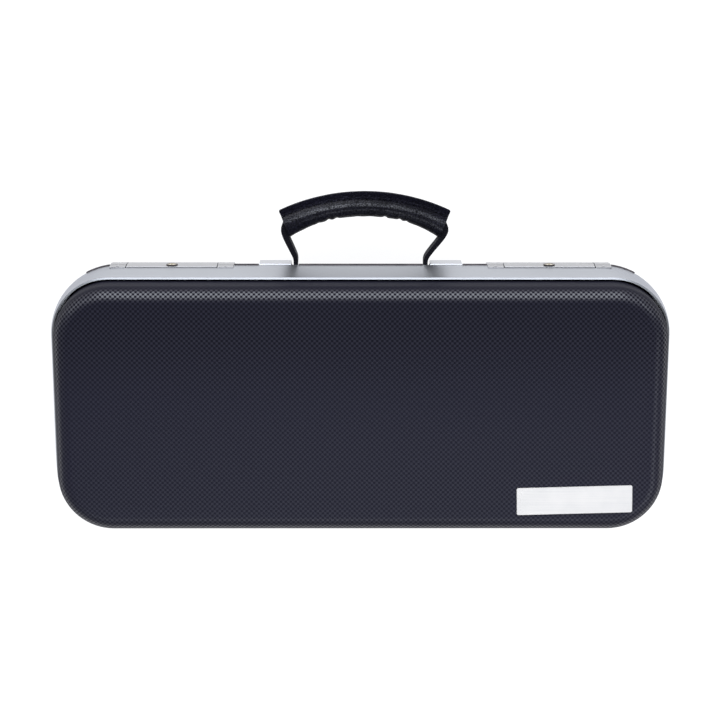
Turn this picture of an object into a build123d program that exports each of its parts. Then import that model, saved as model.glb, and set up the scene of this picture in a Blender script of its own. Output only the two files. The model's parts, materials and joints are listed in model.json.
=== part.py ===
from build123d import *
from math import cos, radians, sin
import os

os.makedirs("parts", exist_ok=True)

# The case lies on its base: lid upwards, handle and latches at the front (-Y), hinges at the back (+Y).
# Heights of the latches, hinges and handle are counted from the middle of the seam.
case_length = 385.0
case_width = 166.0
corner_radius = 44.0
inner_corner = 39.5
shell_depth = 21.0
rim_height = 21.0
seam_gap = 1.0

# aluminium rim section
rim_inset = 4.1
lip_width = 1.1
lip_gap = 1.2
rim_wall_top = 3.6
flange_thickness = 2.2
flange_inner = 9.8
groove_outer = 6.2
groove_inner = 8.6
groove_depth = 1.3

# moulded shell
shell_wall = 2.4
shell_draft = 0.8
edge_radius = 10.0

# heights
z_root = shell_depth
z_seam = z_root + rim_height
z_mid = z_seam + seam_gap / 2
z_lid_seam = z_seam + seam_gap
z_lid_face = 2 * z_mid
z_shell_top = z_seam - flange_thickness
z_bed = z_seam - 3.5
y_front = -case_width / 2
y_back = case_width / 2

# padding
padding_gap = 0.3
padding_round = 7.8
lining_floor = 5.0
lining_wall = 4.0
lining_round = 6.0

# cover of the accessory box
cover_x0 = -168.0
cover_x1 = -16.0
cover_y0 = 22.0
cover_y1 = 62.6
cover_thickness = 3.2
cover_axis_y = 61.6
cover_axis_z = z_bed - cover_thickness / 2
cover_pin_radius = 0.8
pin_clearance = 0.06

# latches
latch_x = 116.3
latch_half = 38.0
hasp_half = 27.8
ear_gap = 0.5
latch_pin_y = -81.5
latch_pin_z = -11.0
latch_pin_radius = 0.7
lock_radius = 3.1
plug_radius = 2.4

# hinges
hinge_x = 110.0
hinge_half = 25.0
hinge_y = 82.9
knuckle_radius = 1.7
hinge_pin_radius = 0.8
leaf_recess = 0.8
leaf_thickness = 1.0

# handle
handle_z = -9.0
arc_centre_y = -10.0
grip_mid_radius = 107.9
grip_half_angle = 27.0
grip_radial = 5.9
grip_deep = 8.5
leather = 1.4
strap_half_angle = 24.5
strap_thickness = 3.4
strap_width = 12.4
fold_y = y_front - 9.0
fold_gap = 1.1

# brackets
bracket_x0 = 43.0
bracket_x1 = 62.6


def save(shape, name):
    export_step(shape, "parts/" + name + ".step")


def group(solids):
    return Compound(children=solids)


def level(z, inset, corner=inner_corner):
    # outline of the case drawn in by an inset; the corners inside the rim are tighter than the rim's own
    outline = RectangleRounded(case_length - 2 * inset, case_width - 2 * inset, corner - inset)
    return Plane.XY.offset(z) * outline


def between(z0, inset0, z1, inset1, corner1=inner_corner):
    return loft([level(z0, inset0), level(z1, inset1, corner1)], ruled=True)


def lowest_edges(solid):
    return solid.edges().group_by(Axis.Z)[0]


def to_lid(shape):
    return mirror(shape, about=Plane.XY.offset(z_mid))


def to_left(shape):
    return mirror(shape, about=Plane.YZ)


def block(x0, x1, y0, y1, z0, z1):
    centre = Pos((x0 + x1) / 2, (y0 + y1) / 2, (z0 + z1) / 2)
    return centre * Box(x1 - x0, y1 - y0, z1 - z0)


def fitting_block(x0, x1, y0, y1, h0, h1):
    return block(x0, x1, y0, y1, z_mid + h0, z_mid + h1)


def fitting(points, x0, x1):
    # bar along X whose section is given as (y, height above the seam's middle)
    section = make_face(Polyline(*points, close=True))
    return Pos(0, 0, z_mid) * extrude(Plane.YZ.offset(x0) * section, amount=x1 - x0)


def rod_x(x0, x1, y, h, radius):
    return Pos((x0 + x1) / 2, y, z_mid + h) * Rot(0, 90, 0) * Cylinder(radius, x1 - x0)


def rod_y(y0, y1, x, h, radius):
    return Pos(x, (y0 + y1) / 2, z_mid + h) * Rot(90, 0, 0) * Cylinder(radius, y1 - y0)


def shell_inset(z):
    return lip_gap + lip_width + rim_inset + shell_draft * (z_root - z) / shell_depth


def rim_y(h):
    # front face of the base rim at a height below the seam's middle
    return y_front + rim_inset * (z_seam - z_mid - h) / rim_height


# moulded shells
outer = between(0, shell_inset(0), z_shell_top, shell_inset(z_shell_top))
outer = fillet(lowest_edges(outer), edge_radius)
z_over = z_shell_top + 1
hollow = between(shell_wall, shell_inset(shell_wall) + shell_wall, z_over, shell_inset(z_over) + shell_wall)
hollow = fillet(lowest_edges(hollow), edge_radius - shell_wall)
base_shell = outer - hollow
lid_shell = to_lid(base_shell)

# aluminium rims, widest at the seam, with a flange over the shell's edge
rim = between(z_root, rim_inset, z_seam, 0, corner_radius)
rim -= between(z_root, rim_inset + lip_width, z_shell_top, rim_wall_top)
rim -= between(z_shell_top - 0.1, flange_inner, z_seam + 0.1, flange_inner)
lid_rim = to_lid(rim)
z_groove = z_seam - groove_depth
z_seal = z_lid_seam - 0.15
groove = between(z_groove, groove_outer, z_seam + 0.1, groove_outer)
groove -= between(z_groove, groove_inner, z_seam + 0.1, groove_inner)
base_rim = rim - groove
seam_seal = between(z_groove, groove_outer, z_seal, groove_outer + 0.4)
seam_seal -= between(z_groove, groove_inner, z_seal, groove_inner - 0.4)


# padding that follows the inside of the shell
def tub(round_radius):
    z0 = shell_wall + padding_gap
    inset = shell_wall + padding_gap
    solid = between(z0, shell_inset(z0) + inset, z_bed, shell_inset(z_bed) + inset)
    return fillet(lowest_edges(solid), round_radius)


def well(x0, x1, y0, y1, depth, corner, bottom):
    outline = Pos((x0 + x1) / 2, (y0 + y1) / 2, 0) * RectangleRounded(x1 - x0, y1 - y0, corner)
    solid = extrude(Plane.XY.offset(z_bed - depth) * outline, amount=depth + 1)
    return fillet(lowest_edges(solid), bottom)


# bed in the base: wells for two joints and the bell, a covered box, an open tray, finger hollows
bed = tub(padding_round)
bed -= well(-168, 88, -64, -28, 29, 14, 11)
bed -= well(-168, 76, -18, 16, 28, 14, 11)
bed -= well(102, 168, -60, 54, 30, 22, 14)
bed -= well(-164, -20, 26, 58, 26, 5, 3)
bed -= well(-8, 88, 26, 60, 22, 5, 3)
bed -= well(-60, -34, -40, -8, 17, 9, 6)
bed -= well(70, 112, -10, 12, 14, 8, 5)

# cover of the box, let into the bed and hung on two pins
z_ledge = z_bed - cover_thickness
bed -= block(cover_x0 - 0.5, cover_x1 + 0.5, cover_y0 - 0.6, cover_y1 - 4, z_ledge, z_bed + 1)
bed -= block(cover_x0 - 0.5, cover_x1 + 0.5, cover_y1 - 4.1, cover_y1 + 1.4, z_ledge - 1, z_bed + 1)
cover_board = block(cover_x0, cover_x1, cover_y0, cover_y1, z_ledge, z_bed)
cover_board = fillet(cover_board.edges().filter_by(Axis.Z).group_by(Axis.Y)[0], 4)
cover_bore = cover_pin_radius + pin_clearance
cover_pins = []
for x_end, outward in ((cover_x0, -1), (cover_x1, 1)):
    x0, x1 = sorted((x_end + 4.5 * outward, x_end - 4 * outward))
    pin = rod_x(x0, x1, cover_axis_y, cover_axis_z - z_mid, cover_pin_radius)
    cover_pins.append(pin)
    bed -= pin
    cover_board -= rod_x(x0 - 0.1, x1 + 0.1, cover_axis_y, cover_axis_z - z_mid, cover_bore)
tab_x = (cover_x0 + cover_x1) / 2
cover_tab = block(tab_x - 7, tab_x + 7, cover_y0 - 4, cover_y0 + 9, z_bed, z_bed + 1.2)
cover_tab = fillet(cover_tab.edges().filter_by(Axis.Z).group_by(Axis.Y)[0], 3.5)

# lining in the lid
z_in = shell_wall + padding_gap + lining_floor
lining_inset = shell_wall + padding_gap + lining_wall
z_out = z_bed + 1
lining_hollow = between(z_in, shell_inset(z_in) + lining_inset, z_out, shell_inset(z_out) + lining_inset)
lining = tub(padding_round) - fillet(lowest_edges(lining_hollow), lining_round)
lid_lining = to_lid(lining)

# blank name plate on the lid
name_plate = extrude(RectangleRounded(70.6, 17.2, 1.2), amount=0.8)
name_plate = Pos(-130.6, 55.2, z_lid_face) * Rot(0, 0, 1.5) * name_plate

# latches: a plate with two ears let into the base rim, a strike let into the lid rim
recess_y = y_front + 2.4
plate_y = y_front + 1.4
strike_y = y_front + 2.6
hasp_y = y_front + 1.25
notch_y = y_front + 4.5
ear_x = hasp_half + ear_gap
ear = [(recess_y, -13), (-82.55, -13), (-83.6, -4), (-83.2, 0.3), (recess_y, 0.3)]
strike_end = [(strike_y, 0.6), (-83.1, 0.6), (-82.65, 5), (-82.3, 5.4), (strike_y, 5.4)]
hasp_front = [(-82.5, 5), (-82.7, 4.8), (-83.6, -4), (-82.8, -11), (-81.5, -11)]
hasp_section = [(hasp_y, 5)] + hasp_front + [(hasp_y, -9.4)]
edge = latch_half + 0.1
base_pocket = fitting_block(-edge, edge, y_front - 1, recess_y, -13.1, 0)
pin_groove = fitting_block(-hasp_half - 0.4, hasp_half + 0.4, y_front - 1, y_front + 3, -12.8, -9.2)
base_notch = fitting_block(-4.4, 4.4, y_front - 1, notch_y, -3.6, 0)
lid_pocket = fitting_block(-edge, edge, y_front - 1, strike_y, 0, 5.5)
lid_notch = fitting_block(-4.4, 4.4, y_front - 1, notch_y, 0, 4.6)

latch_pin = rod_x(-hasp_half - 4, hasp_half + 4, latch_pin_y, latch_pin_z, latch_pin_radius)
latch_plate = fitting_block(-latch_half, latch_half, plate_y, recess_y, -13, -0.7)
latch_plate += fitting(ear, -latch_half, -ear_x) + fitting(ear, ear_x, latch_half)
latch_plate -= pin_groove + base_notch + latch_pin
strike = fitting_block(-latch_half, latch_half, plate_y, strike_y, 0.6, 5.4)
strike += fitting(strike_end, -latch_half, -ear_x) + fitting(strike_end, ear_x, latch_half)
strike -= lid_notch

lock_body = rod_y(-83.1, -79.8, 0, 0, lock_radius) + rod_y(-83.65, -83.1, 0, 0, lock_radius + 0.5)
hasp = fitting(hasp_section, -hasp_half, hasp_half)
hasp += rod_x(-hasp_half, hasp_half, latch_pin_y, latch_pin_z, 1.3)
hasp -= rod_x(-hasp_half - 1, hasp_half + 1, latch_pin_y, latch_pin_z, latch_pin_radius + pin_clearance)
hasp -= lock_body
lock_body -= rod_y(-84, -79, 0, 0, plug_radius + pin_clearance)
lock_plug = rod_y(-83.5, -79.7, 0, 0, plug_radius) + rod_y(-79.7, -78.9, 0, 0, 1.6)
lock_plug += fitting_block(-1, 1, -79.7, -78.9, 0, 4)
lock_plug -= fitting_block(-0.35, 0.35, -84, -82.3, -1.5, 1.5)

plate_rivets = []
strike_rivets = []
latch_pins = []
for side, x in (("left", -latch_x), ("right", latch_x)):
    at = Pos(x, 0, 0)
    side_plate = at * latch_plate
    side_strike = at * strike
    base_rim -= at * (base_pocket + pin_groove + base_notch)
    lid_rim -= at * (lid_pocket + lid_notch)
    for dx in (-33.2, 33.2):
        rivet = rod_y(-83.3, y_front + 4, x + dx, -7, 1.4)
        side_plate -= rivet
        base_rim -= rivet
        plate_rivets.append(rivet)
        rivet = rod_y(-82.95, y_front + 4, x + dx, 3, 1.0)
        side_strike -= rivet
        lid_rim -= rivet
        strike_rivets.append(rivet)
    latch_pins.append(at * latch_pin)
    save(side_plate, "latch_plate_" + side)
    save(side_strike, "strike_" + side)
    save(at * hasp, "hasp_" + side)
    save(at * lock_body, "lock_body_" + side)
    save(at * lock_plug, "lock_plug_" + side)


# hinges let into the back of the rims
def on_back(s, t):
    # point s down the back face of the base rim from its edge and t out from that face
    slope = (rim_inset**2 + rim_height**2) ** 0.5
    along = s / slope
    out = t / slope
    h = -seam_gap / 2 - rim_height * along - rim_inset * out
    return (y_back - rim_inset * along + rim_height * out, h)


leaf_out = leaf_thickness - leaf_recess
leaf_section = [on_back(2.4, -leaf_recess), on_back(13, -leaf_recess)]
leaf_section += [on_back(13, leaf_out), on_back(2.4, leaf_out)]
web_section = [on_back(3.4, -leaf_recess), on_back(3.4, leaf_out), (84.45, -0.5), (hinge_y, 0), (81.35, -0.4)]
leaf_pocket = [on_back(1, -leaf_recess), on_back(13.1, -leaf_recess), on_back(13.1, 2), on_back(1, 2)]
rim_cut = fitting(leaf_pocket, -hinge_half - 0.2, hinge_half + 0.2)
rim_cut += fitting_block(-hinge_half - 0.2, hinge_half + 0.2, 81.1, 86, -4, 0)


def hinge_leaf(knuckles, bore):
    leaf = fitting(leaf_section, -hinge_half, hinge_half)
    for x0, x1 in knuckles:
        leaf += fitting(web_section, x0, x1) + rod_x(x0, x1, hinge_y, 0, knuckle_radius)
    return leaf - rod_x(-hinge_half - 1, hinge_half + 1, hinge_y, 0, bore)


def hinge_rivet(x):
    y, h = on_back(8.5, 0)
    head = Pos(0, 0, leaf_out + 0.25) * Cylinder(2.0, 0.5)
    shank = Pos(0, 0, leaf_out - 1.25) * Cylinder(1.1, 2.5)
    return Pos(x, y, z_mid + h) * Rot(-101.05, 0, 0) * (head + shank)


base_leaf = hinge_leaf(((-25, -15.1), (-4.9, 4.9), (15.1, 25)), hinge_pin_radius)
lid_leaf = to_lid(hinge_leaf(((-14.9, -5.1), (5.1, 14.9)), hinge_pin_radius + pin_clearance))
base_leaves = []
lid_leaves = []
hinge_pins = []
base_hinge_rivets = []
lid_hinge_rivets = []
for x in (-hinge_x, hinge_x):
    at = Pos(x, 0, 0)
    near = at * base_leaf
    far = at * lid_leaf
    base_rim -= at * rim_cut
    lid_rim -= to_lid(at * rim_cut)
    for dx in (-19, 0, 19):
        rivet = hinge_rivet(x + dx)
        near -= rivet
        base_rim -= rivet
        far -= to_lid(rivet)
        lid_rim -= to_lid(rivet)
        base_hinge_rivets.append(rivet)
        lid_hinge_rivets.append(to_lid(rivet))
    base_leaves.append(near)
    lid_leaves.append(far)
    hinge_pins.append(rod_x(x - hinge_half, x + hinge_half, hinge_y, 0, hinge_pin_radius))

# handle: leather grip with a folded seam along its top, on a webbing strap
grip_axis = Axis((0, arc_centre_y, 0), (0, 0, 1))
grip_y = arc_centre_y - grip_mid_radius
z_handle = z_mid + handle_z
strap_low = Plane.XY.offset(z_handle - strap_width / 2)


def swept(section, half_angle):
    placed = Plane.YZ * Pos(grip_y, z_handle, 0) * section
    turned = revolve(placed, axis=grip_axis, revolution_arc=2 * half_angle)
    return turned.rotate(grip_axis, -half_angle)


def ribbon(points):
    # strap seen edge on: a band of even thickness along a bent line
    left = []
    right = []
    for i, (x, y) in enumerate(points):
        x0, y0 = points[max(i - 1, 0)]
        x1, y1 = points[min(i + 1, len(points) - 1)]
        size = ((x1 - x0) ** 2 + (y1 - y0) ** 2) ** 0.5
        out_x = (y1 - y0) / size * strap_thickness / 2
        out_y = (x1 - x0) / size * strap_thickness / 2
        left.append((x - out_x, y + out_y))
        right.append((x + out_x, y - out_y))
    border = Spline(*left) + Line(left[-1], right[-1]) + Spline(*right[::-1]) + Line(right[0], left[0])
    return extrude(strap_low * make_face(border), amount=strap_width)


fin_outline = [(-3.5, -4.8), (-6.4, -1.6), (-9.7, -1.5), (-9.7, 1.5), (-6.4, 1.6), (-3.5, 4.8)]
fin = make_face(Polyline(*fin_outline, close=True))
inside = Ellipse(grip_radial - leather, grip_deep - leather)
grip_leather = swept(Ellipse(grip_radial, grip_deep), grip_half_angle) + swept(fin, grip_half_angle)
grip_leather -= swept(inside, grip_half_angle + 0.5)
grip_core = swept(inside, grip_half_angle - 0.8)

# the strap is cut at the line it folds on: a rounded end above, a hollow end below
strap_arc = swept(Rectangle(strap_thickness, strap_width), strap_half_angle)
end_x = grip_mid_radius * sin(radians(strap_half_angle))
end_y = arc_centre_y - grip_mid_radius * cos(radians(strap_half_angle))
foot = [(39.7, fold_y + 5.6), (41.4, fold_y + 3), (43.4, fold_y - 0.2), (46.3, fold_y - 4.2)]
leg = [(43.4, fold_y + 0.6), (46.3, fold_y - 4.2), (49.2, fold_y - 9)]
leg += [(50.6, fold_y - 12.4), (49.2, fold_y - 15)]
stub = [(40.4, y_front + 4.4), (40.1, y_front + 0.5), (40.6, y_front - 3.8)]
stub += [(43, fold_y + 0.6), (45.4, fold_y - 3.4)]
above_fold = fitting_block(30, 60, -140, fold_y, -20, 5)
fold_round = rod_x(30, 60, fold_y, handle_z, strap_width / 2)
fold_hollow = rod_x(30, 60, fold_y, handle_z, strap_width / 2 + fold_gap)
leg_solid = ribbon(leg + [(end_x, end_y)]) + ribbon(foot)
leg_solid = (leg_solid & above_fold) + (leg_solid & fold_round)
handle_strap = strap_arc + leg_solid + to_left(leg_solid)
strap_end = ribbon(stub) - fold_hollow - above_fold
grip_core -= handle_strap
grip_leather -= handle_strap
base_rim -= strap_end
base_rim -= to_left(strap_end)

# blank brackets beside the strap ends, pinned through the base rim
bracket_front = [(-83.6, -12.4), (-84.1, -11.8), (-83.5, -1.1), (-83, -0.6)]
bracket_section = [(rim_y(-12.4), -12.4)] + bracket_front + [(rim_y(-0.6), -0.6)]
bracket = fitting(bracket_section, bracket_x0, bracket_x1)
bracket_studs = []
for x in (47.5, 57.0):
    stud = rod_y(-82.4, y_front + 4.6, x, -6.5, 1.3)
    bracket -= stud
    for piece in (stud, to_left(stud)):
        base_rim -= piece
        bracket_studs.append(piece)

save(base_shell, "base_shell")
save(base_rim, "base_rim")
save(seam_seal, "seam_seal")
save(bed, "base_bed")
save(group(plate_rivets), "latch_plate_rivets")
save(group(latch_pins), "latch_pins")
save(group(base_leaves), "hinge_leaves_base")
save(group(hinge_pins), "hinge_pins")
save(group(base_hinge_rivets), "hinge_rivets_base")
save(bracket, "bracket_right")
save(to_left(bracket), "bracket_left")
save(group(bracket_studs), "bracket_studs")
save(group([strap_end, to_left(strap_end)]), "strap_ends")
save(group(cover_pins), "cover_pins")
save(cover_board, "cover_board")
save(cover_tab, "cover_tab")
save(lid_shell, "lid_shell")
save(lid_rim, "lid_rim")
save(lid_lining, "lid_lining")
save(name_plate, "name_plate")
save(group(strike_rivets), "strike_rivets")
save(group(lid_leaves), "hinge_leaves_lid")
save(group(lid_hinge_rivets), "hinge_rivets_lid")
save(handle_strap, "handle_strap")
save(grip_core, "grip_core")
save(grip_leather, "grip_leather")
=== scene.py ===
import json
import math

import bmesh
import bpy
from mathutils import Matrix, Vector
from mathutils.noise import noise as noiseOf

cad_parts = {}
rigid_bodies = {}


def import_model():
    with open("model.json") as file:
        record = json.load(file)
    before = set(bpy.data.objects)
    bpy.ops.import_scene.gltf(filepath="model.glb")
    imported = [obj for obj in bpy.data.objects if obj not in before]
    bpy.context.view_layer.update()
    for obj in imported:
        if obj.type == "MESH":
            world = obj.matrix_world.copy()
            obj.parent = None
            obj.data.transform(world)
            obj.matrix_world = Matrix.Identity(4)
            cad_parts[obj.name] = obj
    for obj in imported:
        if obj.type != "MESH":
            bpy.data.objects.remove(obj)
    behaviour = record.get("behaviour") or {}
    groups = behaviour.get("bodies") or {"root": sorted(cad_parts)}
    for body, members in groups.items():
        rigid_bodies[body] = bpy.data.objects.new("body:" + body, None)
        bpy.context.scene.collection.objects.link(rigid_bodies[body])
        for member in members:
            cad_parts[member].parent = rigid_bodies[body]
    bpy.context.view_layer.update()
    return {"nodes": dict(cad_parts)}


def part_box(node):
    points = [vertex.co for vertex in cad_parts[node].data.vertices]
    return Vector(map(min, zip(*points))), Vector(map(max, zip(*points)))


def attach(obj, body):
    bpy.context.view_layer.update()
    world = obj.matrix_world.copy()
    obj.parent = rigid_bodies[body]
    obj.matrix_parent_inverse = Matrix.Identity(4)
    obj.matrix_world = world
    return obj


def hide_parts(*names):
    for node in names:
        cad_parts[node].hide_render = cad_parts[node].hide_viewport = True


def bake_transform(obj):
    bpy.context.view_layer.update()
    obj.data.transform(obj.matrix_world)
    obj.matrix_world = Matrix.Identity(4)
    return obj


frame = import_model()
nodes = frame["nodes"]
print("frame loaded")

# camera: fitted to the photo, which looks down on the lid from the handle's side
view = {
    "imageSide": 720,
    "from": (0.0055, -0.26356, 1.08526),
    "to": (0.00035, -0.02281, 0.0425),
    "up": (0.0, -0.97437, -0.22495),    # the photo's upward direction
    "focal": 1712.4,    # in picture elements
    "sensor": 0.036,
}

# heights and faces that several pieces share
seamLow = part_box("base_rim")[1].z
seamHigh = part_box("lid_rim")[0].z
seamMid = (seamLow + seamHigh) / 2
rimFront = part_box("base_rim")[0].y

shell = {
    "cornerRadius": 0.0338,    # at the open side
    "draft": 0.00152,          # over the whole depth
    "edgeWidth": 0.0096,
    "edgeRadius": 0.0100,
    "slope": 87.8,             # degrees from the face to the walls
    "wall": 0.0024,
    "cornerSteps": 18,
    "edgeSteps": 9,
}
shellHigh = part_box("lid_shell")[1]
core = (shellHigh.x - shell["cornerRadius"], shellHigh.y - shell["cornerRadius"])    # centres of the corners
flat = shell["cornerRadius"] - shell["draft"] - shell["edgeWidth"]                   # from there to the bent edge


class Wire:
    # one socket of a material, so that sums on it add Math nodes

    def __init__(self, tree, socket=None):
        self.tree = tree
        self.socket = socket

    def node(self, kind, settings=None, out=0, **sockets):
        made = self.tree.nodes.new(kind)
        for name, value in (settings or {}).items():
            if name == "stops":
                self.setStops(made.color_ramp, value)
            else:
                setattr(made, name, value)
        for name, value in sockets.items():
            key = int(name[1:]) if name[0] == "s" and name[1:].isdigit() else name.replace("_", " ")
            self.fill(made.inputs[key], value)
        return Wire(self.tree, made.outputs[out])

    def setStops(self, ramp, stops):
        while len(ramp.elements) < len(stops):
            ramp.elements.new(1.0)
        for element, (place, colour) in zip(ramp.elements, stops):
            element.position = place
            element.color = (*colour, 1.0)

    def fill(self, socket, value):
        if isinstance(value, Wire):
            self.tree.links.new(value.socket, socket)
        else:
            socket.default_value = value

    def maths(self, operation, *values):
        sockets = {"s" + str(i): value for i, value in enumerate(values)}
        return self.node("ShaderNodeMath", {"operation": operation}, **sockets)

    def __add__(self, other):
        return self.maths("ADD", self, other)

    def __radd__(self, other):
        return self.maths("ADD", other, self)

    def __sub__(self, other):
        return self.maths("SUBTRACT", self, other)

    def __rsub__(self, other):
        return self.maths("SUBTRACT", other, self)

    def __mul__(self, other):
        return self.maths("MULTIPLY", self, other)

    def __rmul__(self, other):
        return self.maths("MULTIPLY", other, self)

    def __truediv__(self, other):
        return self.maths("DIVIDE", self, other)

    def __pow__(self, other):
        return self.maths("POWER", self, other)

    def sine(self):
        return self.maths("SINE", self)

    def past(self, limit):
        # how far the size of this value goes past a limit, and 0 within it
        return self.maths("MAXIMUM", self.maths("ABSOLUTE", self) - limit, 0.0)

    def span(self, low, high, toLow=0.0, toHigh=1.0):
        limits = {"From_Min": low, "From_Max": high, "To_Min": toLow, "To_Max": toHigh}
        return self.node("ShaderNodeMapRange", {"interpolation_type": "SMOOTHSTEP"}, Value=self, **limits)

    def between(self, low, high):
        # a colour mixed from two, with this value as the share of the second
        return self.node("ShaderNodeMix", {"data_type": "RGBA"}, out=2, Factor=self, s6=low, s7=high)

    def parts(self):
        made = self.tree.nodes.new("ShaderNodeSeparateXYZ")
        self.tree.links.new(self.socket, made.inputs[0])
        return [Wire(self.tree, socket) for socket in made.outputs]


def newFinish(name):
    finish = bpy.data.materials.new(name)
    finish.use_nodes = True
    return finish, Wire(finish.node_tree), finish.node_tree.nodes["Principled BSDF"]


def setSurface(wire, surface, **sockets):
    for name, value in sockets.items():
        wire.fill(surface.inputs[name.replace("_", " ")], value)


def place(wire, scale=(1, 1, 1), turn=(0, 0, 0)):
    point = wire.node("ShaderNodeTexCoord", out=3)
    return wire.node("ShaderNodeMapping", Vector=point, Scale=scale, Rotation=turn)


def noise(wire, point, scale, detail=2.0, rough=0.5):
    return wire.node("ShaderNodeTexNoise", Vector=point, Scale=scale, Detail=detail, Roughness=rough)


def relief(wire, height, depth, strength=1.0):
    # depth is the height of the relief in metres
    return wire.node("ShaderNodeBump", Height=height, Distance=depth, Strength=strength)


def rgb(red, green, blue):
    return (red, green, blue, 1.0)


# finishes

def makeCheckedPlastic():
    look = {
        "cell": 0.0015,
        "low": rgb(0.0062, 0.0060, 0.0115),
        "high": rgb(0.0138, 0.0134, 0.0265),
        "lowRough": 0.62,
        "highRough": 0.32,
        "wallRough": 0.62,
        "depth": 0.00010,
        "faceGloss": 0.26,
    }
    finish, wire, surface = newFinish("checkedPlastic")
    across, along, _ = wire.node("ShaderNodeUVMap", {"uv_map": "wrap"}).parts()
    reach = (across.past(core[0]) ** 2.0 + along.past(core[1]) ** 2.0) ** 0.5
    turn = (reach - flat) / shell["edgeRadius"]    # angle round the bent edge
    wave = (across * (math.pi / look["cell"])).sine() * (along * (math.pi / look["cell"])).sine()
    wearAndPaintedShade = place(wire).parts()[1].span(-0.065, 0.005)    # painted shade: the face is darker towards the handle and paler, with flatter checks, towards the hinges, standing in for the fall of the light
    check = (wave.span(-0.45, 0.45) - 0.45) * turn.span(0.75, 1.30, 1.0, 0.05) * (1.0 - 0.42 * wearAndPaintedShade) + 0.45
    fine = noise(wire, place(wire), 1500.0, 2.0)
    cloud = noise(wire, place(wire), 14.0, 3.0)
    # painted shade: this mask lifts the tone of the face towards the hinges
    tone = check * (0.80 + 0.25 * fine) * (0.86 + 0.28 * cloud) + 0.45 * wearAndPaintedShade - 0.12
    gloss = check * turn.span(0.0, 0.40, look["faceGloss"], 1.0) * turn.span(0.75, 1.15, 1.0, 0.08)
    dull = (1.0 - check) * (look["lowRough"] - look["highRough"]) + look["highRough"] + 0.06 * fine
    setSurface(
        wire, surface,
        Base_Color=tone.between(look["low"], look["high"]),
        Roughness=dull + turn.span(0.9, 1.4) * (look["wallRough"] - dull),
        Specular_IOR_Level=0.07,
        Coat_Weight=gloss,
        Coat_Roughness=0.33,
        Coat_IOR=1.65,
        Normal=relief(wire, check * 0.85 + fine * 0.15, look["depth"]),
    )
    return finish


def makeSatinMetal(name, tone, grain=(6.0, 6.0, 1400.0), rough=0.34, cloudiness=0.05, streaks=0.09, lip=None,
                   edge=1.0):
    finish, wire, surface = newFinish(name)
    lines = noise(wire, place(wire, grain), 1.0, 3.0, 0.6)
    cloud = noise(wire, place(wire), 22.0, 3.0)
    speck = noise(wire, place(wire), 1800.0, 1.0)
    shade = 0.5 + (lines - 0.5) * streaks * 6.0 + (cloud - 0.5) * cloudiness * 6.0
    dark = rgb(*(value * 0.86 for value in tone))
    light = rgb(*(min(1.0, value * 1.12) for value in tone))
    colour = shade.between(dark, light)
    dull = rough + (lines - 0.5) * 0.16 + (cloud - 0.5) * 0.10
    if lip:
        # the narrow edge furthest from the seam is polished bright
        bright = (place(wire).parts()[2] - seamMid).past(lip).span(0.0, 0.0002)
        colour = bright.between(colour, rgb(0.35, 0.36, 0.375))
        dull = dull - 0.06 * bright
    setSurface(
        wire, surface,
        Base_Color=colour,
        Metallic=1.0,
        Roughness=dull,
        Specular_Tint=rgb(edge, edge, min(1.0, edge * 1.08)),
        Normal=relief(wire, lines * 0.7 + speck * 0.3, 0.000010),
    )
    return finish


def makeRubber():
    finish, wire, surface = newFinish("sealRubber")
    dust = noise(wire, place(wire), 160.0, 4.0)
    fine = noise(wire, place(wire), 2600.0, 2.0)
    setSurface(
        wire, surface,
        Base_Color=dust.span(0.3, 0.75).between(rgb(0.055, 0.046, 0.050), rgb(0.11, 0.095, 0.10)),
        Roughness=0.62 + 0.2 * dust,
        Normal=relief(wire, fine, 0.00003),
    )
    return finish


def makePlush(name, dark, light):
    finish, wire, surface = newFinish(name)
    pile = noise(wire, place(wire), 2200.0, 3.0, 0.7)
    tuft = noise(wire, place(wire, (1, 1.4, 1)), 420.0, 3.0, 0.6)
    stroke = noise(wire, place(wire, (1, 2.6, 1), (0, 0, 0.5)), 16.0, 3.0, 0.55)
    tone = 0.45 * pile + 0.25 * tuft + 0.5 * stroke.span(0.35, 0.65) - 0.08
    setSurface(
        wire, surface,
        Base_Color=tone.between(dark, light),
        Roughness=0.92 - 0.1 * stroke,
        Specular_IOR_Level=0.15,
        Sheen_Weight=0.7,
        Sheen_Roughness=0.45,
        Sheen_Tint=rgb(0.62, 0.64, 0.74),
        Normal=relief(wire, pile * 0.6 + tuft * 0.4, 0.00030),
    )
    return finish


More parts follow.
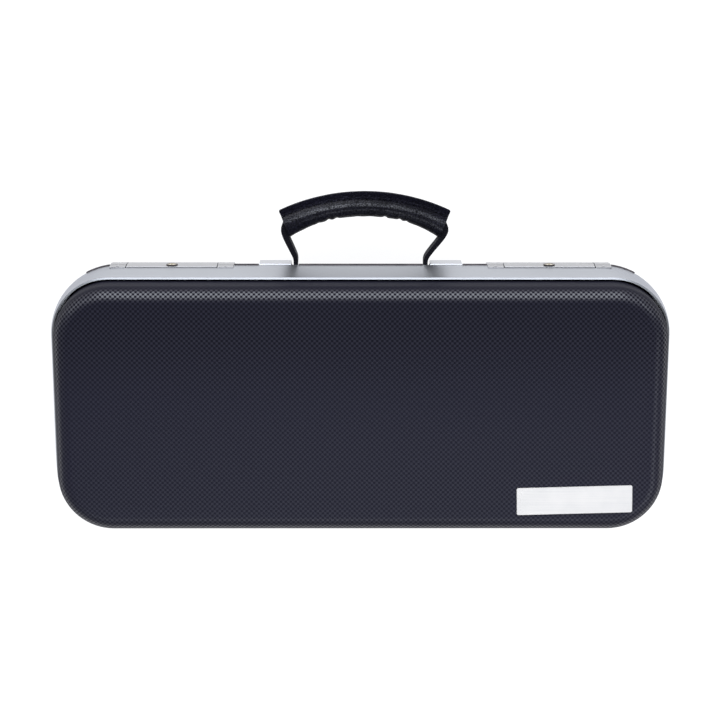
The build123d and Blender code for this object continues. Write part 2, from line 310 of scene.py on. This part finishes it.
def makeLeather(name, dark, light, grain=720.0, shine=None):
    finish, wire, surface = newFinish(name)
    warp = noise(wire, place(wire), 260.0, 2.0)
    point = wire.node("ShaderNodeVectorMath", {"operation": "MULTIPLY_ADD"},
                      s0=place(wire), s1=(1, 1, 1), s2=wire.node("ShaderNodeCombineXYZ", X=warp * 0.0012, Y=warp * 0.001, Z=0.0))
    pebble = wire.node("ShaderNodeTexVoronoi", {"feature": "SMOOTH_F1"}, Vector=point, Scale=grain, Smoothness=0.35)
    crease = wire.node("ShaderNodeTexVoronoi", {"feature": "DISTANCE_TO_EDGE"}, Vector=point, Scale=grain)
    hollow = crease.span(0.0, 0.16)
    # random wear over the leather
    wearAndPaintedShade = noise(wire, place(wire), 46.0, 4.0, 0.6)
    fine = noise(wire, place(wire), 3200.0, 2.0)
    tone = hollow * (0.5 + 0.5 * wearAndPaintedShade.span(0.35, 0.7)) * (0.75 + 0.5 * fine)
    gloss = hollow * (0.35 + 0.65 * wearAndPaintedShade.span(0.30, 0.65))
    if shine:
        x, y, _ = place(wire).parts()
        reach = (x * x + (y - shine["centre"]) ** 2.0) ** 0.5    # from the centre of the grip's arc
        gloss = gloss * reach.span(*shine["inner"]) * reach.span(*shine["outer"], 1.0, 0.0)
    setSurface(
        wire, surface,
        Base_Color=tone.between(dark, light),
        Roughness=0.60 - 0.28 * hollow + 0.10 * fine,
        Specular_IOR_Level=0.12,
        Specular_Tint=rgb(0.82, 0.84, 1.0),
        Coat_Weight=gloss,
        Coat_Roughness=0.27,
        Coat_Tint=rgb(0.9, 0.92, 1.0),
        Normal=relief(wire, hollow * 0.8 - pebble * 0.35 + fine * 0.08, 0.00060),
    )
    return finish


def makeWebbing():
    look = {"rib": 0.0011, "pick": 0.0016, "dark": rgb(0.002, 0.002, 0.004), "light": rgb(0.013, 0.013, 0.018)}
    finish, wire, surface = newFinish("strapWebbing")
    across, along, _ = wire.node("ShaderNodeUVMap", {"uv_map": "weave"}).parts()
    rows = (across * (2 * math.pi / look["rib"])).sine()
    picks = (along * (2 * math.pi / look["pick"]) + rows * 1.4).sine()
    yarn = (rows * 0.5 + 0.5) * 0.55 + (picks * 0.5 + 0.5) * 0.45
    fuzz = noise(wire, place(wire), 2400.0, 3.0, 0.7)
    tone = yarn * (0.65 + 0.5 * fuzz)
    setSurface(
        wire, surface,
        Base_Color=tone.between(look["dark"], look["light"]),
        Roughness=0.86,
        Specular_IOR_Level=0.12,
        Sheen_Weight=0.06,
        Normal=relief(wire, yarn * 0.8 + fuzz * 0.2, 0.00025),
    )
    return finish


def makeThread():
    finish, wire, surface = newFinish("seamThread")
    twist = (place(wire, (1, 1, 1), (0, 0, 0.6)).parts()[0] * 9000.0).sine()
    fuzz = noise(wire, place(wire), 3000.0, 2.0)
    setSurface(
        wire, surface,
        Base_Color=(twist * 0.3 + 0.35 + 0.3 * fuzz).between(rgb(0.008, 0.008, 0.011), rgb(0.045, 0.045, 0.055)),
        Roughness=0.55 + 0.2 * fuzz,
        Normal=relief(wire, twist, 0.00005),
    )
    return finish


def makePlateEnamel():
    finish, wire, surface = newFinish("plateEnamel")
    brushed = noise(wire, place(wire, (20.0, 900.0, 900.0), (0, 0, -0.0257)), 1.0, 3.0)
    cloud = noise(wire, place(wire), 60.0, 3.0)
    tone = 0.5 * brushed.span(0.3, 0.7) + 0.5 * cloud.span(0.3, 0.7)
    setSurface(
        wire, surface,
        Base_Color=tone.between(rgb(0.72, 0.70, 0.67), rgb(0.83, 0.80, 0.755)),
        Roughness=0.34 + 0.12 * brushed,
        Metallic=0.25,
        Normal=relief(wire, brushed, 0.000008),
    )
    return finish


print("finishes")
checkedPlastic = makeCheckedPlastic()
rimMetal = makeSatinMetal("rimMetal", (0.54, 0.555, 0.575), rough=0.38, lip=0.0208, edge=0.62)
fittingMetal = makeSatinMetal("fittingMetal", (0.44, 0.44, 0.455), grain=(260.0, 260.0, 9.0), rough=0.30, streaks=0.06, cloudiness=0.14)
bracketMetal = makeSatinMetal("bracketMetal", (0.55, 0.56, 0.59), grain=(9.0, 500.0, 500.0), rough=0.30, streaks=0.04)
pinMetal = makeSatinMetal("pinMetal", (0.62, 0.62, 0.64), grain=(700.0, 700.0, 700.0), rough=0.25, streaks=0.05)
lockRing = makeSatinMetal("lockRing", (0.17, 0.15, 0.14), grain=(500.0, 500.0, 500.0), rough=0.32, cloudiness=0.12)
lockPlug = makeSatinMetal("lockPlug", (0.86, 0.76, 0.55), grain=(400.0, 400.0, 400.0), rough=0.22, cloudiness=0.08)
sealRubber = makeRubber()
bedPlush = makePlush("bedPlush", rgb(0.006, 0.006, 0.011), rgb(0.030, 0.031, 0.046))
gripLeather = makeLeather("gripLeather", rgb(0.0005, 0.0004, 0.0014), rgb(0.0058, 0.0053, 0.0128),
                          shine={"centre": -0.010, "inner": (0.1045, 0.1090), "outer": (0.1115, 0.1135)})
tabLeather = makeLeather("tabLeather", rgb(0.006, 0.006, 0.008), rgb(0.045, 0.045, 0.055), 900.0)
gripFelt = makePlush("gripFelt", rgb(0.010, 0.010, 0.012), rgb(0.05, 0.05, 0.055))
strapWebbing = makeWebbing()
seamThread = makeThread()
plateEnamel = makePlateEnamel()


# working by hand in edit mode

def clearSelection():
    for thing in bpy.context.view_layer.objects:
        thing.select_set(False)


def startEdit(piece):
    clearSelection()
    piece.select_set(True)
    bpy.context.view_layer.objects.active = piece
    bpy.ops.object.mode_set(mode="EDIT")
    bpy.ops.mesh.select_all(action="DESELECT")


def endEdit():
    bpy.ops.object.mode_set(mode="OBJECT")


def newCube(name, low, high):
    clearSelection()
    middle = (Vector(low) + Vector(high)) / 2
    bpy.ops.mesh.primitive_cube_add(size=1.0, location=middle)
    piece = bpy.context.object
    piece.name = name
    piece.scale = Vector(high) - Vector(low)
    settle(piece)
    return piece


def settle(piece):
    clearSelection()
    piece.select_set(True)
    bpy.context.view_layer.objects.active = piece
    bpy.ops.object.transform_apply(location=True, rotation=True, scale=True)


def pick(piece, kind, test, keep=False):
    # selects the vertices, edges or faces of the mesh in edit mode whose test is true
    mesh = bmesh.from_edit_mesh(piece.data)
    wanted = {"VERT": mesh.verts, "EDGE": mesh.edges, "FACE": mesh.faces}[kind]
    if not keep:
        bpy.ops.mesh.select_all(action="DESELECT")
    bpy.context.tool_settings.mesh_select_mode = (kind == "VERT", kind == "EDGE", kind == "FACE")
    mesh = bmesh.from_edit_mesh(piece.data)
    wanted = {"VERT": mesh.verts, "EDGE": mesh.edges, "FACE": mesh.faces}[kind]
    for item in wanted:
        if test(item):
            item.select_set(True)
    mesh.select_flush_mode()
    bmesh.update_edit_mesh(piece.data)


def edgeMiddle(edge):
    return (edge.verts[0].co + edge.verts[1].co) / 2


def edgeRun(edge):
    return (edge.verts[1].co - edge.verts[0].co).normalized()


def applyModifier(piece, kind, **settings):
    clearSelection()
    piece.select_set(True)
    bpy.context.view_layer.objects.active = piece
    modifier = piece.modifiers.new("step", kind)
    for name, value in settings.items():
        setattr(modifier, name, value)
    bpy.ops.object.modifier_apply(modifier="step")


def smooth(piece, angle=35.0):
    clearSelection()
    piece.select_set(True)
    bpy.context.view_layer.objects.active = piece
    bpy.ops.object.shade_smooth_by_angle(angle=math.radians(angle))


def finishPiece(piece, finish, body=None, stands=()):
    piece.data.materials.clear()
    piece.data.materials.append(finish)
    if stands:
        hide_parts(*stands)
    if body:
        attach(piece, body)
    return piece


def copyNode(node, name):
    # a merged copy of a CAD node's mesh, ready to be worked on
    clearSelection()
    piece = bpy.data.objects.new(name, nodes[node].data.copy())
    bpy.context.scene.collection.objects.link(piece)
    startEdit(piece)
    bpy.ops.mesh.select_all(action="SELECT")
    bpy.ops.mesh.remove_doubles(threshold=0.000002)
    endEdit()
    return piece


def easeNode(node, name, finish, body, width, segments=2, angle=28.0):
    # the node's own shape with its sharp edges broken
    piece = copyNode(node, name)
    easeCopy(piece, width, segments, angle)
    return finishPiece(piece, finish, body, (node,))


def easeCopy(piece, width, segments, angle=28.0):
    startEdit(piece)
    bpy.ops.mesh.select_all(action="SELECT")
    bpy.ops.mesh.dissolve_limited(angle_limit=math.radians(0.4))
    endEdit()
    applyModifier(piece, "BEVEL", width=width, segments=segments, limit_method="ANGLE",
                  angle_limit=math.radians(angle), use_clamp_overlap=True)
    smooth(piece, 32.0)
    applyModifier(piece, "WEIGHTED_NORMAL", keep_sharp=True)


def paintNode(node, finish):
    nodes[node].data.materials.clear()
    nodes[node].data.materials.append(finish)


# moulded shells

def makeShell(name, node, body, upwards):
    low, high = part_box(node)
    faceZ = high.z if upwards else low.z
    piece = newCube(name, low, high)
    startEdit(piece)
    pick(piece, "EDGE", lambda edge: abs(edgeRun(edge).z) > 0.9)
    bpy.ops.mesh.bevel(offset=shell["cornerRadius"], offset_type="OFFSET", segments=shell["cornerSteps"], profile=0.5)
    pick(piece, "VERT", lambda vert: abs(vert.co.z - faceZ) < 1e-6)
    drafted = (1 - shell["draft"] / high.x, 1 - shell["draft"] / high.y, 1)
    bpy.ops.transform.resize(value=drafted, center_override=(0, 0, faceZ))
    pick(piece, "EDGE", lambda edge: abs(edgeMiddle(edge).z - faceZ) < 1e-6)
    bpy.ops.mesh.bevel(offset=shell["edgeWidth"], offset_type="OFFSET", segments=shell["edgeSteps"], profile=0.5)
    mouthZ = low.z if upwards else high.z
    pick(piece, "FACE", lambda face: abs(face.calc_center_median().z - mouthZ) < 1e-6)
    bpy.ops.mesh.delete(type="ONLY_FACE")
    endEdit()
    wrapShell(piece, faceZ)
    applyModifier(piece, "SOLIDIFY", thickness=shell["wall"], offset=-1.0, use_even_offset=True)
    smooth(piece, 40.0)
    return finishPiece(piece, checkedPlastic, body, (node,))


def wrapShell(piece, faceZ):
    # the checks lie flat on the face and run on down the sides by the length of the bend
    layer = piece.data.uv_layers.get("wrap") or piece.data.uv_layers.new(name="wrap")
    turn = math.radians(shell["slope"])
    bend = shell["edgeRadius"] * turn
    bendDepth = shell["edgeRadius"] * (1 - math.cos(turn))
    for loop in piece.data.loops:
        point = piece.data.vertices[loop.vertex_index].co
        spot = Vector((max(-core[0], min(core[0], point.x)), max(-core[1], min(core[1], point.y))))
        out = Vector(point[:2]) - spot
        depth = abs(point.z - faceZ)
        reach = out.length
        if depth > bendDepth:
            reach = flat + bend + depth - bendDepth
        elif reach > flat:
            reach = flat + shell["edgeRadius"] * math.acos(max(-1, 1 - depth / shell["edgeRadius"]))
        if out.length > 1e-7:
            spot += out.normalized() * reach
        layer.data[loop.index].uv = spot


makeShell("lidMoulding", "lid_shell", "lid", True)
makeShell("baseMoulding", "base_shell", "base", False)
print("shells")

# rims, latches, hinges, brackets

rimEase = {"width": 0.00022, "segments": 3, "lip": 0.0348, "lipDrop": 0.00048}


def makeRim(node, name, body):
    # the narrow lip beside the shell is chamfered outwards and catches the light
    low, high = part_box(node)
    lipZ, towards = (high.z, -1) if body == "lid" else (low.z, 1)
    piece = copyNode(node, name)

    def isOuter(vert):
        across = max(abs(vert.co.x) - core[0], 0)
        along = max(abs(vert.co.y) - core[1], 0)
        return abs(vert.co.z - lipZ) < 0.00002 and math.hypot(across, along) > rimEase["lip"]

    startEdit(piece)
    pick(piece, "VERT", isOuter)
    bpy.ops.transform.translate(value=(0, 0, towards * rimEase["lipDrop"]))
    endEdit()
    easeCopy(piece, rimEase["width"], rimEase["segments"])
    finishPiece(piece, rimMetal, body, (node,))


makeRim("lid_rim", "lidRimBand", "lid")
makeRim("base_rim", "baseRimBand", "base")
paintNode("seam_seal", sealRubber)

for side in ("left", "right"):
    easeNode("latch_plate_" + side, "latchPlate." + side, fittingMetal, "base", 0.00018)
    easeNode("strike_" + side, "strikePlate." + side, fittingMetal, "lid", 0.00018)
    easeNode("hasp_" + side, "haspLever." + side, fittingMetal, "hasp_" + side, 0.00022)
    easeNode("lock_body_" + side, "lockRing." + side, lockRing, "hasp_" + side, 0.00010)
    easeNode("lock_plug_" + side, "lockPlug." + side, lockPlug, "plug_" + side, 0.00010)
    easeNode("bracket_" + side, "handleBracket." + side, bracketMetal, "base", 0.00030, 3)
for node, width in (("hinge_leaves_base", 0.00015), ("hinge_leaves_lid", 0.00015)):
    easeNode(node, node.replace("_", "."), fittingMetal, "base" if node.endswith("base") else "lid", width)
for node in ("latch_plate_rivets", "strike_rivets", "latch_pins", "hinge_pins", "hinge_rivets_base",
             "hinge_rivets_lid", "bracket_studs", "cover_pins"):
    paintNode(node, pinMetal)
easeNode("name_plate", "namePlate", plateEnamel, "lid", 0.00018, 2)
print("metalwork")

# rubber bead that closes the seam along the front

bead = {
    "proud": 0.0008,
    "deep": 0.0020,
    "corner": 0.044,
    "cornerSteps": 18,
    "backEnd": -0.0785,
    "gaps": ((0.0383, 0.0422), (0.0428, 0.0628), (0.0781, 0.1545)),    # strap, bracket and latch, along X
}


def makeSeamBead():
    low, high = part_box("base_rim")
    out = Vector((bead["proud"], bead["proud"], 0))
    low = Vector((low.x, low.y, seamLow + 0.00004)) - out
    high = Vector((high.x, high.y, seamHigh - 0.00008)) + out
    piece = newCube("seamBead", low, high)
    startEdit(piece)
    pick(piece, "EDGE", lambda edge: abs(edgeRun(edge).z) > 0.9)
    bpy.ops.mesh.bevel(offset=bead["corner"] + bead["proud"], segments=bead["cornerSteps"], profile=0.5)
    pick(piece, "FACE", lambda face: abs(face.normal.z) > 0.9)
    bpy.ops.mesh.delete(type="ONLY_FACE")
    cuts = [((side * x, 0, 0), (1, 0, 0)) for gap in bead["gaps"] for x in gap for side in (-1, 1)]
    cuts.append(((0, bead["backEnd"], 0), (0, 1, 0)))
    for spot, across in cuts:
        bpy.ops.mesh.select_all(action="SELECT")
        bpy.ops.mesh.bisect(plane_co=spot, plane_no=across)

    def isOpen(face):
        middle = face.calc_center_median()
        atFront = middle.y < low.y + 0.002
        return middle.y > bead["backEnd"] or atFront and any(a < abs(middle.x) < b for a, b in bead["gaps"])

    pick(piece, "FACE", isOpen)
    bpy.ops.mesh.delete(type="FACE")
    endEdit()
    applyModifier(piece, "SOLIDIFY", thickness=bead["deep"], offset=-1.0, use_even_offset=True)
    applyModifier(piece, "BEVEL", width=0.00025, segments=2, limit_method="ANGLE", angle_limit=math.radians(50))
    smooth(piece, 50.0)
    finishPiece(piece, sealRubber, "base")


makeSeamBead()
print("seam bead")

# padding

padding = {"voxel": 0.0019, "smoothing": 6}


def softenNode(node, name, finish, body, voxel, rounds):
    piece = copyNode(node, name)
    applyModifier(piece, "REMESH", mode="VOXEL", voxel_size=voxel, use_smooth_shade=True)
    applyModifier(piece, "SMOOTH", factor=0.6, iterations=rounds)
    smooth(piece, 80.0)
    finishPiece(piece, finish, body, (node,))
    return piece


softenNode("base_bed", "wellBed", bedPlush, "base", padding["voxel"], padding["smoothing"])
softenNode("lid_lining", "lidPad", bedPlush, "lid", padding["voxel"], padding["smoothing"])
easeNode("cover_board", "boxCover", bedPlush, "cover", 0.0009, 4)
easeNode("cover_tab", "coverTab", tabLeather, "cover", 0.0003, 3)
print("padding")

# handle

grip = {
    "middle": (0.0, -0.010, seamMid - 0.009),    # centre of the grip's arc
    "midRadius": 0.1079,
    "halfAngle": 26.8,
    "radial": 0.0059,
    "deep": 0.0085,
    "leather": 0.0011,
    "steps": 96,
    "around": 48,
    "endSlant": 0.22,     # how much less than square the ends of the underside are cut
    "endSwell": 0.0026,   # how much fuller the underside is at the ends
    "lump": 0.00022,
    "lean": -0.0025,      # the soft strap lets the grip hang a little to one side
    "tipRise": 0.0007,
    "folds": (            # across the underside: angle, depth, half width in degrees, slant
        (-12.2, 0.0011, 0.55, 60.0), (-14.4, 0.0008, 0.50, -40.0), (-6.9, 0.0010, 0.50, -70.0),
        (9.6, 0.0009, 0.50, 60.0), (12.6, 0.0011, 0.55, -50.0), (16.0, 0.0005, 0.6, 40.0),
    ),
}


def gripPoint(angle, out=0.0, up=0.0):
    # a point of the grip: angle from its middle towards +X, out from its middle line, up along Z
    middle = Vector(grip["middle"])
    radius = grip["midRadius"] + out
    return middle + Vector((radius * math.sin(angle), -radius * math.cos(angle), up))


def leaning(point):
    share = max(0.0, min(1.0, (rimFront - point[1]) / 0.022))
    return Vector(point) + Vector((grip["lean"] * share * share * (3 - 2 * share), 0, 0))


def gripPlace(point):
    # the angle, the way out and the way up that gripPoint would need
    away = Vector(point) - Vector(grip["middle"])
    return math.atan2(away.x, -away.y), math.hypot(away.x, away.y) - grip["midRadius"], away.z


def makeGripCover():
    middle = Vector(grip["middle"])
    half = math.radians(grip["halfAngle"])
    clearSelection()
    bpy.ops.mesh.primitive_circle_add(vertices=grip["around"], radius=1.0, rotation=(0, math.radians(90), 0))
    piece = bpy.context.object
    piece.name = "gripCover"
    settle(piece)
    startEdit(piece)
    bpy.ops.mesh.select_all(action="SELECT")
    bpy.ops.transform.resize(value=(1, grip["radial"], grip["deep"]), center_override=(0, 0, 0))
    # the folded seam along the outer side is drawn out in three steps
    pick(piece, "EDGE", lambda edge: edgeMiddle(edge).y < -0.0052)
    for step, narrow in ((0.0007, 0.55), (0.0011, 0.82), (0.0023, 1.0)):
        bpy.ops.mesh.extrude_region_move(TRANSFORM_OT_translate={"value": (0, -step, 0)})
        bpy.ops.transform.resize(value=(1, 0.5, narrow))
    pick(piece, "VERT", lambda vert: vert.co.y < -0.0080 and abs(vert.co.z) < 0.0003)
    bpy.ops.transform.translate(value=(0, 0.0006, 0))
    # the section is set at one end of the arc and turned through it
    bpy.ops.mesh.select_all(action="SELECT")
    bpy.ops.transform.translate(value=(0, middle.y - grip["midRadius"], middle.z))
    endEdit()
    for vert in piece.data.vertices:
        _, out, up = gripPlace(vert.co)
        vert.co = gripPoint(-half, out, up)
    startEdit(piece)
    bpy.ops.mesh.select_all(action="SELECT")
    bpy.ops.mesh.spin(steps=grip["steps"], angle=-2 * half, center=middle, axis=(0, 0, 1))
    bpy.ops.mesh.select_all(action="SELECT")
    bpy.ops.mesh.remove_doubles(threshold=0.00001)
    bpy.ops.mesh.normals_make_consistent(inside=False)
    endEdit()
    shapeGrip(piece)
    applyModifier(piece, "SOLIDIFY", thickness=grip["leather"], offset=-1.0)
    applyModifier(piece, "SUBSURF", levels=1, render_levels=1)
    smooth(piece, 60.0)
    finishPiece(piece, gripLeather, "handle", ("grip_leather",))


def shapeGrip(piece):
    half = math.radians(grip["halfAngle"])
    for vert in piece.data.vertices:
        angle, out, up = gripPlace(vert.co)
        share = abs(angle) / half
        under = max(0.0, min(1.0, 0.5 - out / 0.008))
        body = 1.0 if out < 0.006 else 0.25
        swell = under * grip["endSwell"] * share ** 3
        lump = grip["lump"] * body * noiseOf(Vector((angle * 26, out * 300, up * 300)))
        fold = sum(
            depth * math.exp(-((math.degrees(angle) - at - up * slant) / wide) ** 2)
            for at, depth, wide, slant in grip["folds"]
        )
        out += lump - swell + fold * under ** 2 + grip["tipRise"] * share ** 2
        up *= 1.0 + 0.05 * share ** 2 * under
        angle += math.copysign(share ** 4 * max(-out, 0) * grip["endSlant"] / grip["midRadius"], angle)
        vert.co = leaning(gripPoint(angle, out, up))


def makeGripFilling():
    # felt round the webbing, a little inside the ends
    piece = copyNode("grip_core", "gripFilling")
    for vert in piece.data.vertices:
        vert.co = leaning(vert.co)
    smooth(piece, 60.0)
    finishPiece(piece, gripFelt, "handle", ("grip_core",))


strap = {
    "width": 0.0124,
    "thick": 0.0034,
    "thinFoot": 0.72,     # share of the thickness where the strap leaves the rim
    "cuts": 260,
    "route": (            # right half, from inside the rim to the grip, along X and Y
        (0.0404, -0.0786), (0.0402, -0.0825), (0.0405, -0.0866), (0.0430, -0.0912), (0.0462, -0.0962),
        (0.0489, -0.1008), (0.0500, -0.1044), (0.0487, -0.1077), (0.0447, -0.1090),
    ),
    "inGrip": (20.0, 15.0, 10.0, 5.0, 0.0),    # angles that it passes inside the grip
}


def strapRoute():
    # a smooth line through the whole strap, with the length run at each point
    right = [Vector((x, y, grip["middle"][2])) for x, y in strap["route"]]
    right += [gripPoint(math.radians(angle)) for angle in strap["inGrip"]]
    mirrored = [Vector((-point.x, point.y, point.z)) for point in right[-2::-1]]
    stops = right + mirrored
    line = []
    for i in range(len(stops) - 1):
        before, start, stop, after = stops[max(i - 1, 0)], stops[i], stops[i + 1], stops[min(i + 2, len(stops) - 1)]
        for k in range(12):
            t = k / 12
            line.append(0.5 * (2 * start + (stop - before) * t + (2 * before - 5 * start + 4 * stop - after) * t ** 2
                               + (3 * start - before - 3 * stop + after) * t ** 3))
    line.append(stops[-1])
    run = [0.0]
    for i in range(1, len(line)):
        run.append(run[-1] + (line[i] - line[i - 1]).length)
    return line, run


def makeStrap():
    line, run = strapRoute()
    length = run[-1]
    half = Vector((length / 2, strap["thick"] / 2, strap["width"] / 2))
    piece = newCube("strapBand", -half, half)
    startEdit(piece)
    pick(piece, "EDGE", lambda edge: abs(edgeRun(edge).z) > 0.9)
    bpy.ops.mesh.bevel(offset=0.0001, segments=1)
    pick(piece, "EDGE", lambda edge: abs(edgeRun(edge).x) > 0.9)
    bpy.ops.mesh.bevel(offset=0.0011, segments=4, profile=0.5)
    pick(piece, "EDGE", lambda edge: abs(edgeRun(edge).x) > 0.9)
    bpy.ops.mesh.subdivide(number_cuts=strap["cuts"])
    endEdit()
    layer = piece.data.uv_layers.new(name="weave")
    for loop in piece.data.loops:
        point = piece.data.vertices[loop.vertex_index].co
        layer.data[loop.index].uv = (point.z, point.x)
    at = 0
    for vert in sorted(piece.data.vertices, key=lambda vert: vert.co.x):
        along = vert.co.x + length / 2
        while at < len(run) - 2 and run[at + 1] < along:
            at += 1
        share = (along - run[at]) / (run[at + 1] - run[at])
        spot = line[at].lerp(line[at + 1], share)
        ahead = (line[min(at + 2, len(line) - 1)] - line[max(at - 1, 0)]).normalized()
        side = Vector((-ahead.y, ahead.x, 0))
        foot = max(0.0, 1 - min(along, length - along) / 0.022)
        thin = 1 - (1 - strap["thinFoot"]) * foot
        vert.co = leaning(spot + side * vert.co.y * thin + Vector((0, 0, vert.co.z)))
    smooth(piece, 50.0)
    finishPiece(piece, strapWebbing, stands=("handle_strap", "strap_ends"))
    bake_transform(piece)


stitch = {"gap": 0.0034, "long": 0.0023, "thick": 0.00055, "out": 0.0066, "up": 0.0017}


def makeSeamStitches():
    # thread through the folded seam, seen on both of its sides
    clearSelection()
    bpy.ops.mesh.primitive_uv_sphere_add(segments=8, ring_count=6, radius=0.5)
    piece = bpy.context.object
    piece.name = "seamStitches"
    piece.scale = (stitch["long"], stitch["thick"], stitch["thick"])
    settle(piece)
    one = [vert.co.copy() for vert in piece.data.vertices]
    half = math.radians(grip["halfAngle"] - 1.2)
    count = int(2 * half * grip["midRadius"] / stitch["gap"])
    startEdit(piece)
    for _ in range(2 * count - 1):
        pick(piece, "VERT", lambda vert: vert.index < len(one))
        bpy.ops.mesh.duplicate()
    endEdit()
    for index, vert in enumerate(piece.data.vertices):
        number, local = divmod(index, len(one))
        side = 1 if number % 2 else -1
        angle = -half + 2 * half * (number // 2 + 0.5) / count
        away = one[local]
        out = stitch["out"] + away.y + grip["tipRise"] * (angle / half) ** 2
        vert.co = leaning(gripPoint(angle + away.x / grip["midRadius"], out, side * stitch["up"] + away.z))
    smooth(piece, 60.0)
    finishPiece(piece, seamThread, "handle")


makeGripCover()
makeGripFilling()
makeStrap()
makeSeamStitches()
print("handle")

# camera, floor and lights

def makeCamera():
    data = bpy.data.cameras.new("photoCamera")
    data.sensor_width = view["sensor"] * 1000
    data.lens = view["focal"] * data.sensor_width / view["imageSide"]
    camera = bpy.data.objects.new("photoCamera", data)
    bpy.context.scene.collection.objects.link(camera)
    camera.location = view["from"]
    back = (Vector(view["from"]) - Vector(view["to"])).normalized()
    right = Vector(view["up"]).cross(back).normalized()
    camera.rotation_mode = "QUATERNION"
    camera.rotation_quaternion = Matrix((right, back.cross(right), back)).transposed().to_quaternion()
    bpy.context.scene.camera = camera


def makeFloor():
    clearSelection()
    bpy.ops.mesh.primitive_plane_add(size=16.0, location=(0, 0, 0))
    floor = bpy.context.object
    floor.name = "floor"
    finish, wire, surface = newFinish("floorPaint")
    cloud = noise(wire, place(wire), 3.0, 2.0)
    setSurface(
        wire, surface,
        Base_Color=cloud.between(rgb(0.24, 0.24, 0.243), rgb(0.26, 0.26, 0.26)),
        Roughness=0.9,
        Emission_Color=rgb(1, 1, 1),
        Emission_Strength=0.88,
    )
    floor.data.materials.append(finish)


def makeLight(name, spot, aim, size, power):
    data = bpy.data.lights.new(name, "AREA")
    data.shape = "RECTANGLE"
    data.size, data.size_y = size
    data.energy = power
    data.color = (0.88, 0.92, 1.0)
    light = bpy.data.objects.new(name, data)
    bpy.context.scene.collection.objects.link(light)
    light.location = spot
    light.rotation_mode = "QUATERNION"
    light.rotation_quaternion = (Vector(aim) - Vector(spot)).to_track_quat("-Z", "Y")


def makeSky():
    world = bpy.data.worlds.new("studio")
    world.use_nodes = True
    world.node_tree.nodes["Background"].inputs["Color"].default_value = rgb(0.93, 0.95, 1.0)
    world.node_tree.nodes["Background"].inputs["Strength"].default_value = 0.30
    bpy.context.scene.world = world
    bpy.context.scene.view_settings.view_transform = "Standard"


makeCamera()
makeFloor()
makeSky()
makeLight("handleSide", (0.0, -1.75, 1.14), (0, 0, 0), (1.8, 1.7), 40.0)
makeLight("above", (-0.6, 0.92, 1.70), (-0.6, 0, 0), (2.8, 1.0), 20.0)
for name, side in (("leftFront", -1), ("rightFront", 1)):
    makeLight(name, (side * 1.78, -1.42, 1.25), (0, 0, 0), (1.5, 0.8), 8.0)
print("camera and light")
